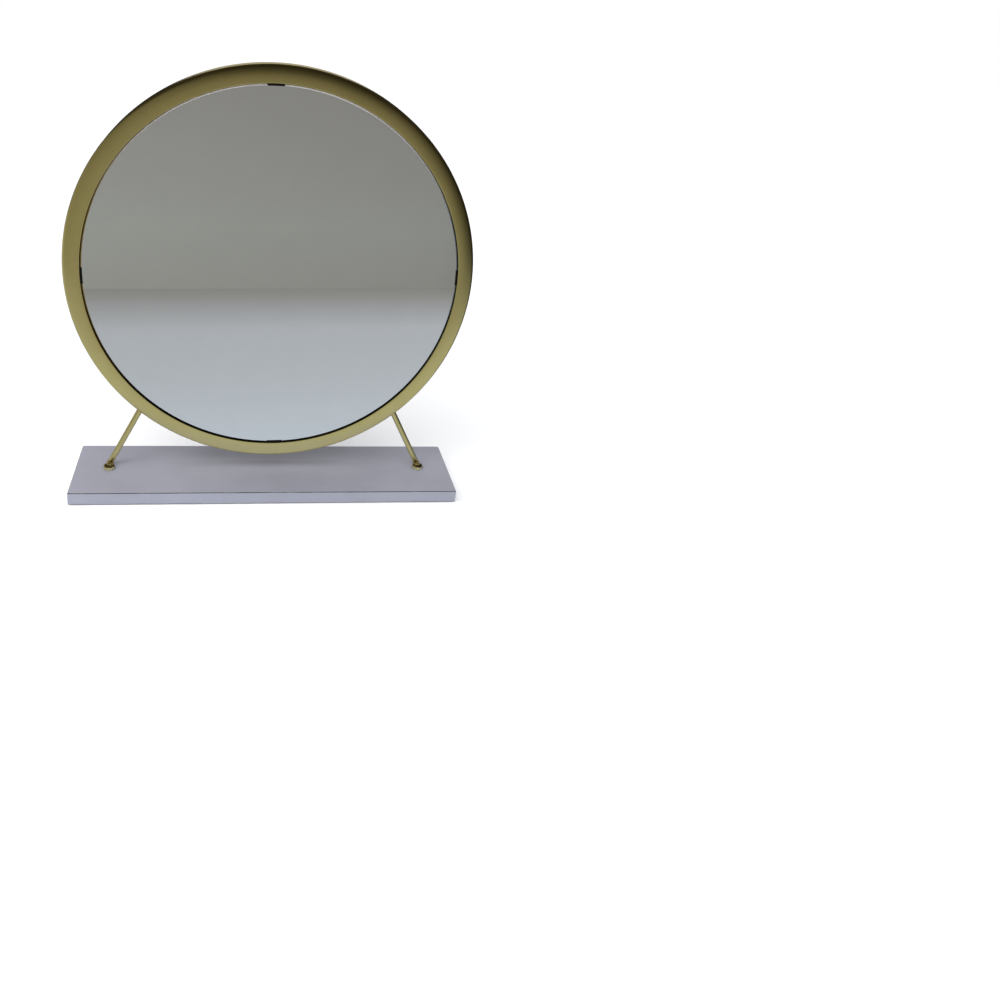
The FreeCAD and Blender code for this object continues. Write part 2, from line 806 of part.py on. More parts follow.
def check(items):
    """Stop when an object failed to build or its shape isn't sound."""
    for item in doc.Objects:
        if "Invalid" in item.State or "Error" in item.State:
            raise RuntimeError("%s did not build: %s" % (item.Label, item.State))
    for item in items:
        if item.Shape.isNull() or not item.Shape.isValid() or not item.Shape.Solids:
            raise RuntimeError("%s has no sound shape" % item.Label)


def export(items):
    os.makedirs("parts", exist_ok=True)
    for item in items:
        item.Shape.exportStep("parts/%s.step" % item.Label)


def build():
    fill_sheet()
    nodes = [build_core(), build_top_laminate(), build_bottom_laminate()]
    nodes += build_edge_bands()
    nodes += [build_pads(), build_inserts()]
    nodes += [build_ring(), build_glass(), build_silvering(), build_tape()]
    nodes += [build_panel(), build_panel_screws()]
    nodes += build_clips()
    right_rod = build_rod()
    nodes += [right_rod, mirrored(right_rod, "left_leg_rod")]
    right_block, grip = build_block()
    nodes += [right_block, mirrored(right_block, "left_leg_block")]
    nodes += [build_grub_screws(grip), build_foot_screws()]
    doc.recompute()
    check(nodes)
    export(nodes)


build()
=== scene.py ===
import math
import random

import bmesh
import bpy
from mathutils import Matrix, Vector, noise


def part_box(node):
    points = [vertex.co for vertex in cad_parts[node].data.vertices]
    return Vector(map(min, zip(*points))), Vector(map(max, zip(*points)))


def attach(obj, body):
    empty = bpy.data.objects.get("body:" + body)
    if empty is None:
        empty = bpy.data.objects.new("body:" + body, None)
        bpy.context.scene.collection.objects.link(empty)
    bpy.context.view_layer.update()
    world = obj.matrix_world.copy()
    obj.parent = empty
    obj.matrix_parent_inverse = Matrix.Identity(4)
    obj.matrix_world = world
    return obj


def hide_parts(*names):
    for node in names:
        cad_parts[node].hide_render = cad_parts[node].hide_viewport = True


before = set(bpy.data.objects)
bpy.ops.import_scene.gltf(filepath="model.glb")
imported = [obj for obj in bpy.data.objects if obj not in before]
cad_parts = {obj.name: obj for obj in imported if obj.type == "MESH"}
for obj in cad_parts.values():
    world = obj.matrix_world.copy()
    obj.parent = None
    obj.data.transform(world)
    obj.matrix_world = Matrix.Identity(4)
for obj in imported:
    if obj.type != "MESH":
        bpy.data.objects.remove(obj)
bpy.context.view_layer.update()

# A round table-top mirror in a satin gold ring, on two slanting rods and a low white board.
# Metres, X to the right, Y to the back, Z up, origin on the floor under the middle of the board.
# Places come from the CAD nodes' boxes. The values below repeat the CAD's sizes that no box can tell.

MM = 0.001
ROUND_STEPS = 288          # facets round the mirror
LIP_RADIUS = 186.8 * MM
LIP_ROUND = 0.6 * MM
EDGE_ROUND = 5.0 * MM      # tight curve into the ring's outer wall
SHOULDER_Y = 5.3 * MM      # where that curve ends
WALL = 1.2 * MM
FLANGE_RADIUS = 174.0 * MM
GLASS_ARRIS = 0.5 * MM
GLASS_BEVEL = 1.2 * MM
ROD_RADIUS = 3.0 * MM
EYE_RADIUS = 5.4 * MM
EYE_THICKNESS = 2.2 * MM
FLAT_HALF_WIDTH = 3.4 * MM

ring_low, ring_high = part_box("mirror_frame")
glass_low, glass_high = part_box("mirror_glass")
PANEL_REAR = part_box("back_panel")[1].y
CENTRE_Z = (glass_low.z + glass_high.z) / 2
RING_RADIUS = (ring_high.x - ring_low.x) / 2
GLASS_RADIUS = (glass_high.x - glass_low.x) / 2


# ---------------------------------------------------------------- node helpers


class Nodes:
    """A material under construction: short calls to add and link its nodes."""

    def __init__(self, name):
        self.material = bpy.data.materials.new(name)
        self.material.use_nodes = True
        self.tree = self.material.node_tree
        self.shader = self.tree.nodes["Principled BSDF"]

    def add(self, kind, **settings):
        node = self.tree.nodes.new(kind)
        for name, value in settings.items():
            if name in node.inputs:
                node.inputs[name].default_value = value
            else:
                setattr(node, name, value)
        return node

    def link(self, source, target):
        self.tree.links.new(source, target)

    def object_coords(self):
        return self.add("ShaderNodeTexCoord").outputs["Object"]

    def math(self, operation, first, second=None):
        node = self.add("ShaderNodeMath", operation=operation)
        for socket, value in zip(node.inputs, (first, second)):
            if value is None:
                continue
            if isinstance(value, (int, float)):
                socket.default_value = value
            else:
                self.link(value, socket)
        return node.outputs[0]

    def noise(self, coords, scale, detail=4.0, roughness=0.5, stretch=(1, 1, 1)):
        """Noise over coordinates that may be stretched, scale in features per metre."""
        mapping = self.add("ShaderNodeMapping")
        mapping.inputs["Scale"].default_value = stretch
        self.link(coords, mapping.inputs["Vector"])
        node = self.add("ShaderNodeTexNoise")
        node.inputs["Scale"].default_value = scale
        node.inputs["Detail"].default_value = detail
        node.inputs["Roughness"].default_value = roughness
        self.link(mapping.outputs["Vector"], node.inputs["Vector"])
        return node.outputs["Fac"]

    def ramp(self, factor, stops):
        """Colours or greys along a factor, as (place, colour) stops."""
        node = self.add("ShaderNodeValToRGB")
        elements = node.color_ramp.elements
        while len(elements) < len(stops):
            elements.new(0.5)
        for element, (place, colour) in zip(elements, stops):
            element.position = place
            if isinstance(colour, (int, float)):
                colour = (colour, colour, colour)
            element.color = (*colour, 1.0)
        self.link(factor, node.inputs["Fac"])
        return node.outputs["Color"]

    def mix(self, factor, first, second):
        node = self.add("ShaderNodeMix", data_type="RGBA")
        for socket, value in ((node.inputs[0], factor), (node.inputs[6], first), (node.inputs[7], second)):
            if isinstance(value, (int, float)):
                socket.default_value = value
            elif isinstance(value, tuple):
                socket.default_value = (*value, 1.0)
            else:
                self.link(value, socket)
        return node.outputs[2]

    def bump(self, height, strength, distance, normal=None):
        node = self.add("ShaderNodeBump")
        node.inputs["Strength"].default_value = strength
        node.inputs["Distance"].default_value = distance
        self.link(height, node.inputs["Height"])
        if normal is not None:
            self.link(normal, node.inputs["Normal"])
        return node.outputs["Normal"]

    def set(self, **values):
        for name, value in values.items():
            socket = self.shader.inputs[name.replace("_", " ")]
            if isinstance(value, tuple):
                socket.default_value = (*value, 1.0) if len(value) == 3 else value
            elif isinstance(value, (int, float)):
                socket.default_value = value
            else:
                self.link(value, socket)
        return self


# ---------------------------------------------------------------- materials


def gold_satin():
    """Pale gold lacquer on steel: satin, with a very fine grain that follows the metal round."""
    n = Nodes("gold_satin")
    coords = n.object_coords()
    cloud = n.noise(coords, 22.0, 3.0)
    fine = n.noise(coords, 900.0, 3.0, 0.6)
    grain = n.noise(coords, 300.0, 4.0, 0.65, (0.25, 1.0, 3.0))
    tone = n.ramp(cloud, [(0.3, (0.650, 0.556, 0.222)), (0.7, (0.700, 0.598, 0.246))])
    specks = n.ramp(fine, [(0.30, 0.0), (0.42, 1.0)])
    n.set(
        Base_Color=n.mix(specks, (0.58, 0.50, 0.19), tone),
        Metallic=1.0,
        Roughness=n.ramp(grain, [(0.25, 0.27), (0.75, 0.35)]),
        Normal=n.bump(fine, 0.10, 0.00012, n.bump(grain, 0.08, 0.0002)),
    )
    return n.material


def gold_polished():
    """Bright brass-plated screw heads, with faint turning marks and dulled spots."""
    n = Nodes("gold_polished")
    coords = n.object_coords()
    wear = n.noise(coords, 420.0, 4.0)
    n.set(
        Base_Color=n.ramp(wear, [(0.32, (0.62, 0.48, 0.19)), (0.52, (0.88, 0.76, 0.38))]),
        Metallic=1.0,
        Roughness=n.ramp(wear, [(0.30, 0.34), (0.60, 0.20)]),
        Normal=n.bump(wear, 0.12, 0.0002),
    )
    return n.material


def laminate(name, base, shade, roughness):
    """White melamine sheet: faint mottling, soft dirt and an even fine texture."""
    n = Nodes(name)
    coords = n.object_coords()
    cloud = n.noise(coords, 14.0, 4.0, 0.55)
    smear = n.noise(coords, 9.0, 5.0, 0.6, (0.4, 2.2, 1.0))
    texture = n.noise(coords, 1400.0, 2.0)
    scuff = n.noise(coords, 60.0, 6.0, 0.7, (0.35, 4.0, 1.0))
    tone = n.mix(n.ramp(cloud, [(0.35, 0.0), (0.70, 1.0)]), base, shade)
    dirt = n.ramp(smear, [(0.58, 0.0), (0.80, 0.35)])
    stained = n.mix(dirt, tone, tuple(0.86 * c for c in shade))
    n.set(
        Base_Color=stained,
        Roughness=n.ramp(scuff, [(0.35, roughness), (0.70, roughness + 0.12)]),
        Specular_IOR_Level=0.45,
        Normal=n.bump(texture, 0.10, 0.00008),
    )
    return n.material


def sheet_edge():
    """The cut edge of the laminate: dark brown paper core with worn, paler stretches."""
    n = Nodes("laminate_edge")
    coords = n.object_coords()
    wear = n.noise(coords, 55.0, 6.0, 0.7, (1.0, 0.2, 0.2))
    n.set(
        Base_Color=n.ramp(
            wear, [(0.34, (0.012, 0.010, 0.008)), (0.54, (0.055, 0.050, 0.045)), (0.70, (0.20, 0.20, 0.22))]
        ),
        Roughness=0.8,
        Normal=n.bump(wear, 0.5, 0.0004),
    )
    return n.material


def fibreboard(name, pale, dark, roughness=0.85):
    """Pressed wood fibre: short fibres in every direction."""
    n = Nodes(name)
    coords = n.object_coords()
    fibres = n.noise(coords, 620.0, 6.0, 0.75)
    lie = n.noise(coords, 120.0, 5.0, 0.7, (1.0, 1.0, 0.3))
    tone = n.mix(n.ramp(lie, [(0.3, 0.0), (0.7, 1.0)]), pale, dark)
    speck = n.ramp(fibres, [(0.35, 0.0), (0.60, 1.0)])
    n.set(
        Base_Color=n.mix(speck, dark, tone),
        Roughness=roughness,
        Normal=n.bump(fibres, 0.35, 0.0002),
    )
    return n.material


def clear_glass():
    """Float glass, colourless, with faint smudges."""
    n = Nodes("clear_glass")
    coords = n.object_coords()
    smudge = n.noise(coords, 16.0, 5.0, 0.6, (1.0, 1.0, 0.45))
    n.set(
        Base_Color=(0.985, 0.995, 0.992),
        Roughness=n.ramp(smudge, [(0.45, 0.0), (0.75, 0.018)]),
        IOR=1.52,
        Transmission_Weight=1.0,
    )
    return n.material


def ground_edge_painted_light():
    """The glass's bevel and rim, matt ground glass with light painted in by place: a painted highlight along
    the top, painted shade along the bottom, and a painted reflection at the sides, gold-brown from the ring
    at the left and blue-grey at the right.
    """
    n = Nodes("ground_edge_painted_light")
    coords = n.object_coords()
    grit = n.noise(coords, 2500.0, 2.0)
    split = n.add("ShaderNodeSeparateXYZ")
    n.link(coords, split.inputs[0])
    across = n.math("ADD", n.math("MULTIPLY", split.outputs[0], 0.5 / GLASS_RADIUS), 0.5)
    rise = n.math("SUBTRACT", split.outputs[2], CENTRE_Z)
    up = n.math("ADD", n.math("MULTIPLY", rise, 0.5 / GLASS_RADIUS), 0.5)
    # painted reflection at the sides: gold-brown from the ring at the left, blue-grey at the right, dark
    # between
    sides = [(0.05, (0.23, 0.155, 0.035)), (0.5, (0.06, 0.07, 0.07)), (0.95, (0.13, 0.16, 0.20))]
    beside = n.ramp(across, sides)
    # painted shade: dark teal along the bottom of the rim
    painted_shade_and_reflection = n.mix(n.ramp(up, [(0.12, 0.0), (0.45, 1.0)]), (0.006, 0.016, 0.022), beside)
    # painted highlight: pale along the top of the rim
    tone = n.mix(n.ramp(up, [(0.66, 0.0), (0.97, 1.0)]), painted_shade_and_reflection, (0.86, 0.83, 0.86))
    n.set(
        Base_Color=n.mix(n.ramp(grit, [(0.3, 0.0), (0.7, 0.15)]), tone, (0.02, 0.02, 0.02)),
        Roughness=0.5,
        Specular_IOR_Level=0.2,
        Normal=n.bump(grit, 0.25, 0.0001),
    )
    return n.material


def silvering():
    """The silver coat seen through the glass."""
    n = Nodes("silvering")
    haze = n.noise(n.object_coords(), 30.0, 5.0, 0.6)
    n.set(
        Base_Color=n.ramp(haze, [(0.3, (0.800, 0.815, 0.810)), (0.7, (0.822, 0.835, 0.830))]),
        Metallic=1.0,
        Roughness=n.ramp(haze, [(0.5, 0.004), (0.8, 0.014)]),
    )
    return n.material


def moulded(name, colour, roughness, grain_scale=900.0, strength=0.25):
    """Moulded plastic or rubber with a fine texture."""
    n = Nodes(name)
    coords = n.object_coords()
    grain = n.noise(coords, grain_scale, 4.0, 0.6)
    cloud = n.noise(coords, 70.0, 3.0)
    tone = n.ramp(cloud, [(0.3, tuple(0.8 * c for c in colour)), (0.7, tuple(1.15 * c for c in colour))])
    n.set(
        Base_Color=tone,
        Roughness=n.ramp(grain, [(0.3, roughness - 0.06), (0.7, roughness + 0.08)]),
        Specular_IOR_Level=0.15,
        Normal=n.bump(grain, strength, 0.0002),
    )
    return n.material


def metal(name, colour, roughness, stretch=(1, 1, 1)):
    """Plain or plated metal with fine machining lines and dull spots."""
    n = Nodes(name)
    coords = n.object_coords()
    lines = n.noise(coords, 700.0, 4.0, 0.6, stretch)
    spots = n.noise(coords, 90.0, 4.0)
    tone = n.ramp(spots, [(0.35, tuple(0.78 * c for c in colour)), (0.65, colour)])
    n.set(
        Base_Color=tone,
        Metallic=1.0,
        Roughness=n.ramp(lines, [(0.3, roughness - 0.08), (0.7, roughness + 0.10)]),
        Normal=n.bump(lines, 0.15, 0.00015),
    )
    return n.material


MATERIALS = {
    "gold_satin": gold_satin(),
    "gold_polished": gold_polished(),
    # the laminate and edging colours are dim lavender-grey, painted shade that keeps the white board grey
    # beside the white floor; the edging is painted lighter and bluer than the top sheet, standing for the
    # light on the board's front face
    "white_laminate": laminate("white_laminate", (0.290, 0.291, 0.338), (0.260, 0.261, 0.304), 0.42),
    "white_laminate_under": laminate("white_laminate_under", (0.42, 0.42, 0.45), (0.36, 0.36, 0.39), 0.6),
    "white_edging": laminate("white_edging", (0.318, 0.330, 0.395), (0.294, 0.306, 0.366), 0.38),
    "laminate_edge": sheet_edge(),
    "fibreboard": fibreboard("fibreboard", (0.30, 0.20, 0.11), (0.17, 0.11, 0.06)),
    "panel_board": fibreboard("panel_board", (0.030, 0.028, 0.026), (0.016, 0.015, 0.014), 0.7),
    "clear_glass": clear_glass(),
    "ground_edge_painted_light": ground_edge_painted_light(),
    "silvering": silvering(),
    "foam_pad": moulded("foam_pad", (0.030, 0.030, 0.032), 0.85, 1600.0, 0.6),
    "foam_tape": moulded("foam_tape", (0.66, 0.66, 0.64), 0.8, 1800.0, 0.5),
    "black_clip": moulded("black_clip", (0.004, 0.003, 0.002), 0.6),
    "insert_brass": metal("insert_brass", (0.60, 0.44, 0.18), 0.32, (1, 1, 6)),
    "zinc_steel": metal("zinc_steel", (0.50, 0.50, 0.47), 0.30),
    "bare_steel": metal("bare_steel", (0.33, 0.33, 0.33), 0.42, (6, 1, 1)),
    "black_steel": metal("black_steel", (0.035, 0.035, 0.037), 0.40),
}


# ---------------------------------------------------------------- mesh helpers


def finish_piece(name, mesh, slot, replaced=(), sharp_degrees=32.0, materials=None):
    """Make an object from a mesh, smooth it, paint it, and hang it on the root body."""
    piece = bpy.data.objects.new(name, mesh)
    bpy.context.scene.collection.objects.link(piece)
    mesh.shade_smooth()
    mesh.set_sharp_from_angle(angle=math.radians(sharp_degrees))
    for key in materials or [slot]:
        mesh.materials.append(MATERIALS[key])
    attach(piece, "root")
    if replaced:
        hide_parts(*replaced)
    return piece


def mesh_from(name, vertices, faces):
    """A mesh with all its faces turned outwards."""
    mesh = bpy.data.meshes.new(name)
    mesh.from_pydata([tuple(v) for v in vertices], [], faces)
    mesh.update()
    worked = bmesh.new()
    worked.from_mesh(mesh)
    bmesh.ops.recalc_face_normals(worked, faces=worked.faces)
    worked.to_mesh(mesh)
    worked.free()
    return mesh


def arc_points(centre, radius, start, end, steps):
    """Points (y, r) on an arc between two angles in degrees, measured from +Y towards the outside."""
    points = []
    for step in range(steps + 1):
        angle = math.radians(start + (end - start) * step / steps)
        points.append((centre[0] + radius * math.cos(angle), centre[1] + radius * math.sin(angle)))
    return points


def lathe(name, profile, centre_z, steps=ROUND_STEPS, closed=True):
    """Turn a profile of (y, radius) about the mirror's axis. Points on the axis are shared."""
    vertices, rows = [], []
    for y, radius in profile:
        if radius < 1e-9:
            rows.append([len(vertices)] * steps)
            vertices.append((0.0, y, centre_z))
            continue
        row = []
        for step in range(steps):
            angle = 2 * math.pi * step / steps
            row.append(len(vertices))
            vertices.append((radius * math.sin(angle), y, centre_z + radius * math.cos(angle)))
        rows.append(row)
    faces = []
    pairs = list(zip(rows, rows[1:]))
    if closed:
        pairs.append((rows[-1], rows[0]))
    for first, second in pairs:
        for step in range(steps):
            following = (step + 1) % steps
            corners = [first[step], first[following], second[following], second[step]]
            face = list(dict.fromkeys(corners))
            if len(face) > 2:
                faces.append(face)
    return mesh_from(name, vertices, faces)


# ---------------------------------------------------------------- mirror head


def broad_radius():
    """Radius of the ring's front curve, square to the front at the lip and smooth into the edge round."""
    rise = SHOULDER_Y - ring_low.y
    run = RING_RADIUS - LIP_RADIUS - LIP_ROUND
    return (rise ** 2 + (run - EDGE_ROUND) ** 2 - EDGE_ROUND ** 2) / (2 * (rise - EDGE_ROUND))


def face_curve(offset, lip_start):
    """The front face from lip to shoulder, offset into the metal, as (y, radius) points."""
    broad = broad_radius()
    broad_centre = (ring_low.y + broad, LIP_RADIUS + LIP_ROUND)
    edge_centre = (SHOULDER_Y, RING_RADIUS - EDGE_ROUND)
    turn = math.degrees(
        math.atan2(edge_centre[1] - broad_centre[1], edge_centre[0] - broad_centre[0])
    )
    points = arc_points(broad_centre, broad - offset, lip_start, turn, 14)
    points += arc_points(edge_centre, EDGE_ROUND - offset, turn, 90.0, 9)[1:]
    return points


def build_ring():
    """The stamped ring with rolled lip, return wall, flange and a softened rear edge."""
    flange_front = PANEL_REAR
    flange_back = flange_front + WALL
    rear = ring_high.y
    soft = 0.25 * MM          # how far sharp sheet edges are eased
    profile = [
        (flange_back - soft, FLANGE_RADIUS),
        (flange_front + soft, FLANGE_RADIUS),
        (flange_front, FLANGE_RADIUS + soft),
        (flange_front, LIP_RADIUS - soft),
        (flange_front - soft, LIP_RADIUS),
    ]
    profile += arc_points((ring_low.y + LIP_ROUND, LIP_RADIUS + LIP_ROUND), LIP_ROUND, 270.0, 180.0, 6)
    profile += face_curve(0.0, 180.0)[1:]
    profile += [
        (rear - soft, RING_RADIUS),
        (rear, RING_RADIUS - soft),
        (rear, RING_RADIUS - WALL + soft),
        (rear - soft, RING_RADIUS - WALL),
    ]
    profile += list(reversed(face_curve(WALL, 180.0)))
    profile += [
        (ring_low.y + WALL, LIP_RADIUS + WALL),
        (flange_back - soft, LIP_RADIUS + WALL),
        (flange_back, LIP_RADIUS + WALL - soft),
        (flange_back, FLANGE_RADIUS + soft),
    ]
    mesh = lathe("ring_shell", profile, CENTRE_Z)
    return finish_piece("ring_shell", mesh, "gold_satin", ["mirror_frame"], 28.0)


def build_glass():
    """The glass disc with both edges ground, clear on its faces and matt round its rim."""
    front, back = glass_low.y, glass_high.y
    profile = [
        (front, 0.0),
        (front, GLASS_RADIUS * 0.5),
        (front, GLASS_RADIUS - GLASS_BEVEL),
        (front + GLASS_BEVEL, GLASS_RADIUS),
        (back - GLASS_ARRIS, GLASS_RADIUS),
        (back, GLASS_RADIUS - GLASS_ARRIS),
        (back, GLASS_RADIUS * 0.5),
        (back, 0.0),
    ]
    mesh = lathe("glass_disc", profile, CENTRE_Z, closed=False)
    # the rim takes the ground edge, with its painted highlight, painted shade and painted reflection
    looks = ["clear_glass", "ground_edge_painted_light"]
    piece = finish_piece("glass_disc", mesh, "clear_glass", ["mirror_glass"], 20.0, looks)
    rim = GLASS_RADIUS - 0.6 * GLASS_BEVEL
    for polygon in mesh.polygons:
        out = math.hypot(polygon.center.x, polygon.center.z - CENTRE_Z)
        if out > rim:
            polygon.material_index = 1
    return piece


def build_silver():
    """The silver coat, drawn just under the face of the glass so that its rim shows no double image."""
    inset = 0.02 * MM
    depth = 0.03 * MM
    radius = GLASS_RADIUS - GLASS_BEVEL - inset
    front = glass_low.y + depth
    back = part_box("mirror_silvering")[1].y
    profile = [(front, 0.0), (front, radius), (back, radius), (back, 0.0)]
    mesh = lathe("silver_disc", profile, CENTRE_Z, closed=False)
    return finish_piece("silver_disc", mesh, "silvering", ["mirror_silvering"], 20.0)


# ---------------------------------------------------------------- legs

rod_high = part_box("right_leg_rod")[1]
screws_low, screws_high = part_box("foot_screws")
HEAD_RADIUS = (screws_high.y - screws_low.y) / 2
FOOT_X = screws_high.x - HEAD_RADIUS
FOOT_Y = (screws_low.y + screws_high.y) / 2
BOARD_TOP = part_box("base_top_laminate")[1].z
ROD_AXIS_Y = rod_high.y - ROD_RADIUS
ROD_FOOT_X = 167.0 * MM
ROD_LEAN = math.radians(27.0)


def rod_section(centre, across, thin, half_width, half_thickness, steps=28):
    """A rounded section: a circle when both halves match, a flat oval otherwise."""
    points = []
    squareness = 2.0 + 2.0 * max(0.0, 1.0 - half_thickness / half_width)
    for step in range(steps):
        angle = 2 * math.pi * step / steps
        c, s = math.cos(angle), math.sin(angle)
        x = math.copysign(abs(c) ** (2 / squareness), c) * half_width
        y = math.copysign(abs(s) ** (2 / squareness), s) * half_thickness
        points.append(centre + across * x + thin * y)
    return points


def smooth(value):
    """Ease a share from 0 to 1, level at both ends."""
    value = min(max(value, 0.0), 1.0)
    return value * value * (3 - 2 * value)


def build_rod(side):
    """A rod: round above, hammered flat above the board, bent forward, and ended in a round eye."""
    sign = 1.0 if side == "right" else -1.0
    end_gap = 1.5 * MM         # between the rod's end and the top of its box
    bend = 1.6 * MM
    taper = 2.6 * MM
    eye_steps, bend_steps, taper_steps = 12, 7, 14
    up = Vector((-sign * math.sin(ROD_LEAN), 0, math.cos(ROD_LEAN)))
    across = Vector((math.cos(ROD_LEAN), 0, sign * math.sin(ROD_LEAN)))
    foot = Vector((sign * ROD_FOOT_X, ROD_AXIS_Y, BOARD_TOP))
    reach = (rod_high.z - BOARD_TOP) / math.cos(ROD_LEAN) - end_gap
    half_thick = EYE_THICKNESS / 2
    rows = []

    # the eye, flat on the board, seen as sections square to Y from its front to the bend
    eye_centre = Vector((sign * FOOT_X, FOOT_Y, BOARD_TOP + half_thick))
    sideways = Vector((1, 0, 0))
    for step in range(eye_steps + 1):
        angle = math.pi * (0.04 + 0.56 * step / eye_steps)
        y = -EYE_RADIUS * math.cos(angle)
        half = EYE_RADIUS * math.sin(angle)
        centre = eye_centre + Vector((0, y, 0))
        rows.append(rod_section(centre, sideways, Vector((0, 0, 1)), half, half_thick))
    # the bend, turning from lying flat to standing in the rod's plane
    bend_x = sign * (ROD_FOOT_X - bend * math.tan(ROD_LEAN))
    bend_start = Vector((bend_x, ROD_AXIS_Y, BOARD_TOP + half_thick))
    for step in range(1, bend_steps + 1):
        share = step / bend_steps
        turn = math.radians(90.0 * share)
        y = bend_start.y - bend + bend * math.sin(turn)
        z = bend_start.z + bend * (1 - math.cos(turn))
        x = eye_centre.x + (bend_start.x - eye_centre.x) * share
        wide = sideways.lerp(across, share).normalized()
        thin = Vector((0, -math.sin(turn), math.cos(turn)))
        rows.append(rod_section(Vector((x, y, z)), wide, thin, FLAT_HALF_WIDTH, half_thick))
    # from flat to round, then straight up into the ring
    base = bend + half_thick
    for step in range(1, taper_steps + 1):
        along = base + taper * step / taper_steps
        share = smooth(step / taper_steps)
        width = FLAT_HALF_WIDTH + (ROD_RADIUS - FLAT_HALF_WIDTH) * share
        thickness = half_thick + (ROD_RADIUS - half_thick) * share
        rows.append(rod_section(foot + up * along, across, Vector((0, -1, 0)), width, thickness))
    for share in (0.25, 0.5, 0.75, 1.0):
        along = base + taper + (reach - base - taper) * share
        rows.append(rod_section(foot + up * along, across, Vector((0, -1, 0)), ROD_RADIUS, ROD_RADIUS))

    steps = len(rows[0])
    vertices = [point for row in rows for point in row]
    faces = []
    for row in range(len(rows) - 1):
        for step in range(steps):
            following = (step + 1) % steps
            near, far = row * steps, (row + 1) * steps
            faces.append([near + step, near + following, far + following, far + step])
    faces.append(list(range(steps)))
    faces.append([(len(rows) - 1) * steps + step for step in range(steps)])
    mesh = mesh_from("leg_rod_" + side, vertices, faces)
    return finish_piece("leg_rod_" + side, mesh, "gold_satin", [side + "_leg_rod"], 40.0)


# ---------------------------------------------------------------- CAD nodes that stay

KEPT = {
    "base_core": "fibreboard",
    "base_bottom_laminate": "white_laminate_under",
    "front_edge_band": "white_edging",
    "rear_edge_band": "white_edging",
    "left_edge_band": "white_edging",
    "right_edge_band": "white_edging",
    "base_pads": "foam_pad",
    "threaded_inserts": "insert_brass",
    "glass_tape_strips": "foam_tape",
    "back_panel": "panel_board",
    "panel_screws": "zinc_steel",
    "top_clip": "black_clip",
    "right_clip": "black_clip",
    "bottom_clip": "black_clip",
    "left_clip": "black_clip",
    "right_leg_block": "bare_steel",
    "left_leg_block": "bare_steel",
    "leg_grub_screws": "black_steel",
    "foot_screws": "gold_polished",
}
SOFTENED = {
    "front_edge_band": 0.25,
    "rear_edge_band": 0.25,
    "left_edge_band": 0.25,
    "right_edge_band": 0.25,
    "right_leg_block": 0.5,
    "left_leg_block": 0.5,
    "foot_screws": 0.2,
    "top_clip": 0.15,
    "right_clip": 0.15,
    "bottom_clip": 0.15,
    "left_clip": 0.15,
}


def paint_kept():
    """Give each CAD node that stays its material, and soften its corners."""
    for node, key in KEPT.items():
        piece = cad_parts[node]
        for socket in piece.material_slots:
            socket.link = "OBJECT"
            socket.material = MATERIALS[key]
        if node in SOFTENED:
            bevel = piece.modifiers.new("softened", "BEVEL")
            bevel.width = SOFTENED[node] * MM
            bevel.segments = 3
            bevel.limit_method = "ANGLE"
            bevel.angle_limit = math.radians(35)
            bevel.use_clamp_overlap = True
            bevel.harden_normals = False


# ---------------------------------------------------------------- board's top sheet


def build_top_sheet():
    """The laminate over the board: a thin sheet with softened arrises and a dark, worn cut edge."""
    low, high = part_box("base_top_laminate")
    worked = bmesh.new()
    steps_x, steps_y = 160, 44
    deepest_wear = 0.75 * MM
    chip = random.Random(7)

    def worn(x, y):
        """How far the arris is worn back at a place on the rim, in metres."""
        long_waves = noise.noise(Vector((x * 45.0, y * 45.0, 3.1)))
        short_waves = noise.noise(Vector((x * 160, y * 160, 9.0)))
        value = long_waves + 0.5 * short_waves
        return (0.18 + 0.18 * max(0.0, value)) * MM

    rows = []
    outline = []
    for step in range(steps_x):
        outline.append((low.x + (high.x - low.x) * step / steps_x, low.y))
    for step in range(steps_y):
        outline.append((high.x, low.y + (high.y - low.y) * step / steps_y))
    for step in range(steps_x):
        outline.append((high.x - (high.x - low.x) * step / steps_x, high.y))
    for step in range(steps_y):
        outline.append((low.x, high.y - (high.y - low.y) * step / steps_y))
    centre = (low + high) / 2
    half_x, half_y = high.x - centre.x, high.y - centre.y
    chips = {}
    for corner in (0, steps_x, steps_x + steps_y, 2 * steps_x + steps_y):
        depth = chip.uniform(0.35, 0.55) * MM
        chips[corner] = depth
        for beside in (corner - 1, corner + 1):
            chips[beside % len(outline)] = 0.5 * depth
    # underside, then the cut edge up to where the wear begins, then the top face, pulled in by the wear
    for z, inward in ((low.z, 0.0), (None, 0.0), (high.z, 1.0)):
        row = []
        for index, (x, y) in enumerate(outline):
            wear = min(worn(x, y) + chips.get(index, 0.0), deepest_wear)
            height = z if z is not None else high.z - wear
            pull = wear * inward
            at_end = abs(abs(x - centre.x) - half_x) < 1e-6
            at_front_or_rear = abs(abs(y - centre.y) - half_y) < 1e-6
            move_x = math.copysign(pull, centre.x - x) if at_end else 0.0
            move_y = math.copysign(pull, centre.y - y) if at_front_or_rear else 0.0
            row.append(worked.verts.new((x + move_x, y + move_y, height)))
        rows.append(row)
    count = len(outline)
    for lower, upper in zip(rows, rows[1:]):
        for index in range(count):
            following = (index + 1) % count
            face = worked.faces.new((lower[index], lower[following], upper[following], upper[index]))
            face.material_index = 1
    worked.faces.new(rows[-1])
    worked.faces.new(list(reversed(rows[0])))
    bmesh.ops.recalc_face_normals(worked, faces=worked.faces)
    mesh = bpy.data.meshes.new("top_sheet")
    worked.to_mesh(mesh)
    worked.free()
    return finish_piece(
        "top_sheet", mesh, "white_laminate", ["base_top_laminate"], 20.0, ["white_laminate", "laminate_edge"]
    )


# ---------------------------------------------------------------- stage, light and camera


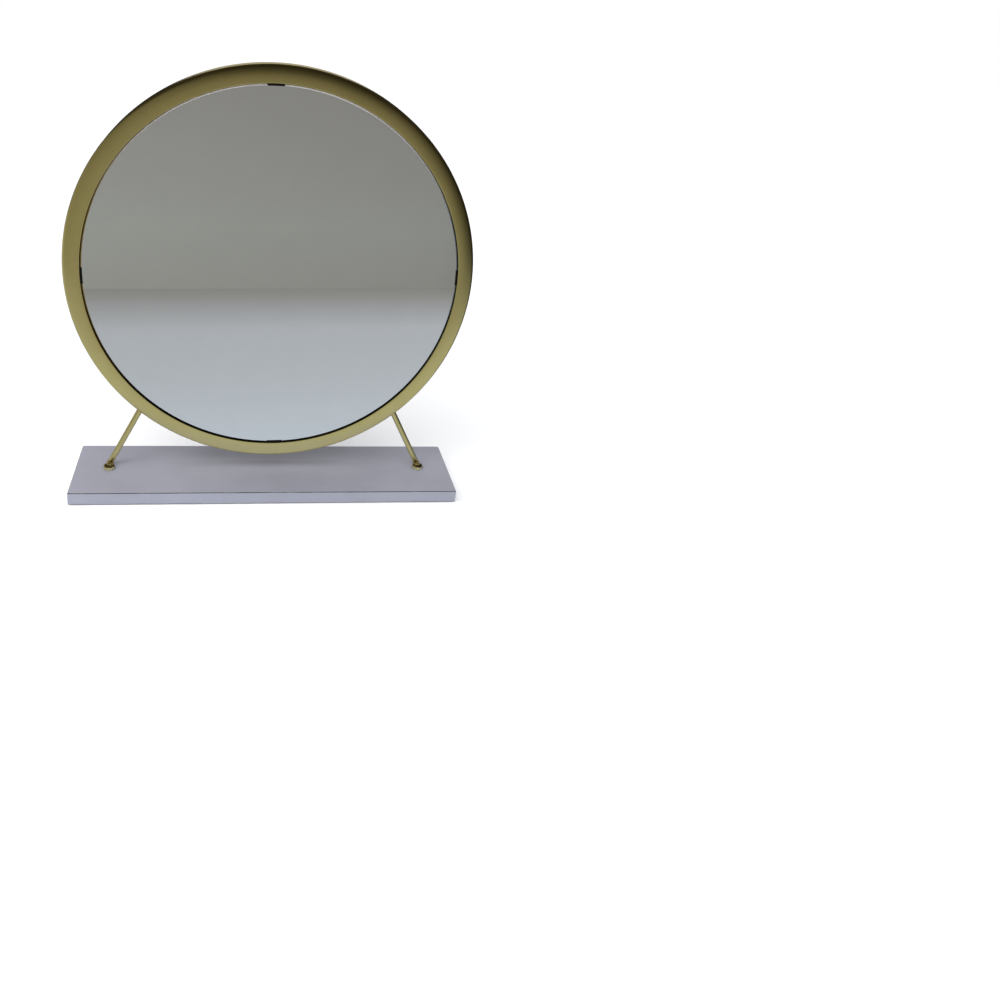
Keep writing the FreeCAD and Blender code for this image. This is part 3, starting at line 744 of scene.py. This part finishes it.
def stage_material(name, colour, roughness=0.9):
    """Plain paper for the floor and the cards round the object."""
    n = Nodes(name)
    grain = n.noise(n.object_coords(), 3.0, 3.0)
    n.set(
        Base_Color=n.ramp(grain, [(0.3, tuple(0.985 * c for c in colour)), (0.7, colour)]),
        Roughness=roughness,
        Specular_IOR_Level=0.1,
    )
    return n.material


def plane(name, corners, material):
    """A flat stage piece through the given corners."""
    mesh = bpy.data.meshes.new(name)
    mesh.from_pydata(corners, [], [tuple(range(len(corners)))])
    mesh.materials.append(material)
    piece = bpy.data.objects.new(name, mesh)
    bpy.context.scene.collection.objects.link(piece)
    return piece


TABLE_REACH = -0.645       # where the table card ends and the wall card stands
CARD_REACH = 1.6           # half the width of the cards
TABLE_SKEW = 0.103         # how much that line comes forward with X
WALL_TOP = 0.70
CARD_DROP = -0.0005        # the cards lie this far under the floor
BEHIND = 0.06              # where the table card gives way to the one behind the object


def card_material(name, stops, axis, low, high, side_tone=0.0, level=1.0):
    """A card lit from within: tones along one object axis, and brighter or darker towards the sides."""
    n = Nodes(name)
    split = n.add("ShaderNodeSeparateXYZ")
    n.link(n.object_coords(), split.inputs[0])
    share = n.math("DIVIDE", n.math("SUBTRACT", split.outputs[axis], low), high - low)
    slope = n.math("ADD", n.math("MULTIPLY", split.outputs[0], -side_tone), level)
    across = n.math("ADD", n.math("DIVIDE", split.outputs[0], 2 * CARD_REACH), 0.5)
    fade = [(0.25, 0.76), (0.40, 0.96), (0.62, 1.0), (0.70, 0.72), (0.79, 0.32), (0.86, 0.08)]
    sides = n.ramp(across, fade)
    strength = n.math("MULTIPLY", n.math("MAXIMUM", slope, 0.12), sides)
    n.set(Base_Color=(0, 0, 0), Emission_Color=n.ramp(share, stops), Emission_Strength=strength)
    return n.material


def shine_upwards_only(material):
    """Make a card clear from below, so that what lies under it doesn't see it."""
    tree = material.node_tree
    output = tree.nodes["Material Output"]
    lit = tree.nodes["Principled BSDF"]
    side = tree.nodes.new("ShaderNodeNewGeometry")
    clear = tree.nodes.new("ShaderNodeBsdfTransparent")
    mix = tree.nodes.new("ShaderNodeMixShader")
    tree.links.new(side.outputs["Backfacing"], mix.inputs[0])
    tree.links.new(lit.outputs[0], mix.inputs[1])
    tree.links.new(clear.outputs[0], mix.inputs[2])
    tree.links.new(mix.outputs[0], output.inputs["Surface"])


def seen_by_shine_only(piece):
    """Keep a card out of the picture and out of the light: only mirror and metal see it."""
    piece.visible_camera = False
    piece.visible_diffuse = False
    piece.visible_shadow = False


def build_room():
    """What the mirror and the metal reflect: a pale blue-grey table, and an olive-grey wall beyond."""
    table = card_material(
        "card_table",
        [
            (0.00, (0.262, 0.260, 0.238)),
            (0.05, (0.285, 0.283, 0.265)),
            (0.13, (0.350, 0.345, 0.352)),
            (0.30, (0.478, 0.492, 0.525)),
            (0.60, (0.515, 0.540, 0.580)),
            (0.86, (0.590, 0.635, 0.700)),
            (1.00, (0.590, 0.635, 0.700)),
        ],
        1,
        TABLE_REACH,
        0.0,
    )
    far = CARD_REACH
    corners = [(-far, TABLE_REACH, 0), (far, TABLE_REACH, 0), (far, BEHIND, 0), (-far, BEHIND, 0)]
    turn = -math.atan(TABLE_SKEW)
    card = plane("card_table", corners, table)
    card.location.z = CARD_DROP
    card.rotation_euler.z = turn
    seen_by_shine_only(card)
    wall = card_material(
        "card_wall",
        [
            (0.00, (0.318, 0.314, 0.290)),
            (0.16, (0.334, 0.335, 0.309)),
            (0.41, (0.300, 0.290, 0.274)),
            (0.65, (0.270, 0.258, 0.238)),
            (1.00, (0.150, 0.140, 0.120)),
        ],
        2,
        0.0,
        WALL_TOP,
        side_tone=0.28,
    )
    foot, top = TABLE_REACH, WALL_TOP
    corners = [(-far, foot, 0), (far, foot, 0), (far, foot, top), (-far, foot, top)]
    card = plane("card_wall", corners, wall)
    card.rotation_euler.z = turn
    seen_by_shine_only(card)

    tones = [(0.0, (0.40, 0.41, 0.40)), (1.0, (0.30, 0.31, 0.30))]
    behind = card_material("card_behind", tones, 1, 0.0, far, side_tone=1.5, level=0.6)
    corners = [(-far, BEHIND, 0), (far, BEHIND, 0), (far, far, 0), (-far, far, 0)]
    card = plane("card_behind", corners, behind)
    card.location.z = CARD_DROP
    seen_by_shine_only(card)

    low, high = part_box("base_top_laminate")
    glow = [(0.0, (0.55, 0.60, 0.80)), (1.0, (0.50, 0.55, 0.74))]
    board = card_material("card_board", glow, 1, low.y, high.y)
    shine_upwards_only(board)
    lift = high.z + 0.3 * MM
    corners = [(low.x, low.y, lift), (high.x, low.y, lift), (high.x, 0, lift), (low.x, 0, lift)]
    seen_by_shine_only(plane("card_board", corners, board))


def build_stage():
    """A pale floor, which the mirror and the metal see as the table card instead."""
    reach = 8.0
    corners = [(-reach, -reach, 0), (reach, -reach, 0), (reach, reach, 0), (-reach, reach, 0)]
    floor = plane("floor", corners, stage_material("floor_paper", (0.9, 0.9, 0.9)))
    floor.visible_glossy = False
    floor.visible_transmission = False
    build_room()


def add_lamp(name, kind, place, aim, power, colour, glossy=False, **shape):
    """A lamp at a place, aimed at a point, and seen in mirror and metal only when glossy is set."""
    lamp = bpy.data.lights.new(name, kind)
    lamp.energy = power
    lamp.color = colour
    for key, value in shape.items():
        setattr(lamp, key, value)
    item = bpy.data.objects.new(name, lamp)
    item.location = place
    item.rotation_euler = (Vector(aim) - Vector(place)).to_track_quat("-Z", "Y").to_euler()
    item.visible_glossy = glossy
    item.visible_transmission = glossy
    bpy.context.scene.collection.objects.link(item)
    return item


def build_world():
    """White paper behind everything, soft fill on matt surfaces, and a dim room in reflections."""
    world = bpy.data.worlds.new("studio")
    bpy.context.scene.world = world
    world.use_nodes = True
    tree = world.node_tree
    background = tree.nodes["Background"]
    path = tree.nodes.new("ShaderNodeLightPath")
    coords = tree.nodes.new("ShaderNodeTexCoord")
    # the room is lighter to the left and low down, and dark to the right and overhead
    towards = tree.nodes.new("ShaderNodeVectorMath")
    towards.operation = "DOT_PRODUCT"
    towards.inputs[1].default_value = (-0.60, -0.25, -0.76)
    room = tree.nodes.new("ShaderNodeValToRGB")
    stops = room.color_ramp.elements
    stops[0].position, stops[0].color = 0.0, (0.030, 0.026, 0.022, 1)
    stops[1].position, stops[1].color = 0.62, (0.38, 0.375, 0.34, 1)
    middle = stops.new(0.12)
    middle.color = (0.19, 0.182, 0.158, 1)
    fill = tree.nodes.new("ShaderNodeMix")
    fill.data_type = "RGBA"
    fill.inputs[7].default_value = (0.62, 0.63, 0.66, 1)
    paper = tree.nodes.new("ShaderNodeMix")
    paper.data_type = "RGBA"
    paper.inputs[7].default_value = (1.0, 1.0, 1.0, 1)
    links = tree.links
    links.new(coords.outputs["Generated"], towards.inputs[0])
    links.new(towards.outputs["Value"], room.inputs["Fac"])
    links.new(room.outputs["Color"], fill.inputs[6])
    links.new(path.outputs["Is Diffuse Ray"], fill.inputs[0])
    links.new(fill.outputs[2], paper.inputs[6])
    links.new(path.outputs["Is Camera Ray"], paper.inputs[0])
    links.new(paper.outputs[2], background.inputs["Color"])


def build_light():
    """Soft light from above, a little more from the left, and a strip behind for the metal."""
    build_world()
    place = (-0.25, -0.75, 2.0)
    add_lamp("soft_sky", "SUN", place, (0, 0, 0), 2.1, (1.0, 0.995, 0.985), angle=math.radians(75))
    place = (-0.75, -0.35, 0.75)
    add_lamp("left_key", "AREA", place, (-0.1, 0, 0), 3.6, (1.0, 0.99, 0.98), size=0.55)
    # seen only in the metal: a light line along the ring's top, and the screw heads' shine
    place = (0.05, 1.25, 0.95)
    strip = add_lamp("back_strip", "AREA", place, (0, 0, 0.1), 1.5, (1.0, 0.97, 0.88), True, size=0.9)
    strip.visible_diffuse = False


CAMERA_PLACE = Vector((-37.80, -875.83, 516.89)) * MM
CAMERA_PITCH = math.radians(21.987)   # looking down
CAMERA_YAW = math.radians(-11.080)
CAMERA_ROLL = math.radians(-5.441)
CAMERA_FOCAL = 0.910879              # focal length over the image width
SENSOR_WIDTH = 36.0
CAMERA_SHIFT = (0.100, -0.150)


def build_camera():
    """A camera a little above the ring's top, left of the middle, looking down at the object."""
    level = Matrix(((1, 0, 0), (0, 0, -1), (0, 1, 0)))   # rows: right, down, forward
    cy, sy = math.cos(CAMERA_YAW), math.sin(CAMERA_YAW)
    cp, sp = math.cos(CAMERA_PITCH), math.sin(CAMERA_PITCH)
    cr, sr = math.cos(CAMERA_ROLL), math.sin(CAMERA_ROLL)
    yaw = Matrix(((cy, sy, 0), (-sy, cy, 0), (0, 0, 1)))
    pitch = Matrix(((1, 0, 0), (0, cp, -sp), (0, sp, cp)))
    roll = Matrix(((cr, sr, 0), (-sr, cr, 0), (0, 0, 1)))
    right, down, forward = roll @ pitch @ level @ yaw
    turned = Matrix((right, -down, -forward)).transposed().to_4x4()
    data = bpy.data.cameras.new("camera")
    data.sensor_width = SENSOR_WIDTH
    data.lens = CAMERA_FOCAL * SENSOR_WIDTH
    data.shift_x, data.shift_y = CAMERA_SHIFT
    data.clip_start = 0.01
    data.clip_end = 50.0
    camera = bpy.data.objects.new("camera", data)
    camera.matrix_world = Matrix.Translation(CAMERA_PLACE) @ turned
    bpy.context.scene.collection.objects.link(camera)
    bpy.context.scene.camera = camera


build_ring()
build_glass()
build_silver()
build_rod("right")
build_rod("left")
build_top_sheet()
paint_kept()
build_stage()
build_light()
build_camera()
bpy.context.scene.view_settings.view_transform = "Standard"
